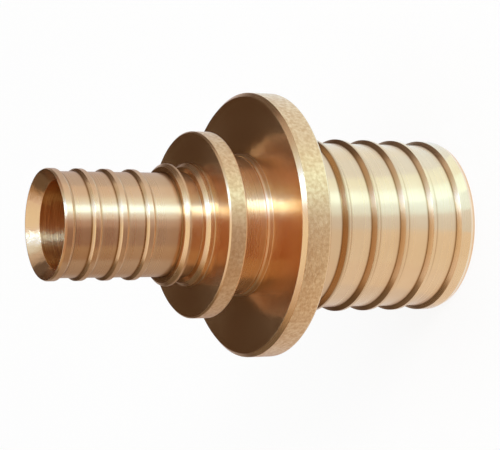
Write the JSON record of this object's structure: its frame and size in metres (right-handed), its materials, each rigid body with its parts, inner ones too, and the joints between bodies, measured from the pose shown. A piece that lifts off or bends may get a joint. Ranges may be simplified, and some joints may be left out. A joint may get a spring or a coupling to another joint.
{
  "type": "reducing coupling",
  "caption": "Turned metal reducing coupling with a ribbed tail and a round collar at each end, smaller at the top, and a bore right through, for joining a wide plastic pipe to a narrow one.",
  "frame": {"origin": "centre of the wide tail's end face, on which the coupling stands", "axes": "+Z along the bore, from the wide tail up to the narrow tail; the coupling is round, so X and Y are free"},
  "size_m": [0.051, 0.051, 0.0834],
  "materials": {
    "gunmetal": "bright turned gunmetal, with matt forged collar rims"
  },
  "bodies": {
    "root": {"coupling_body": "gunmetal"}
  },
  "joints": []
}
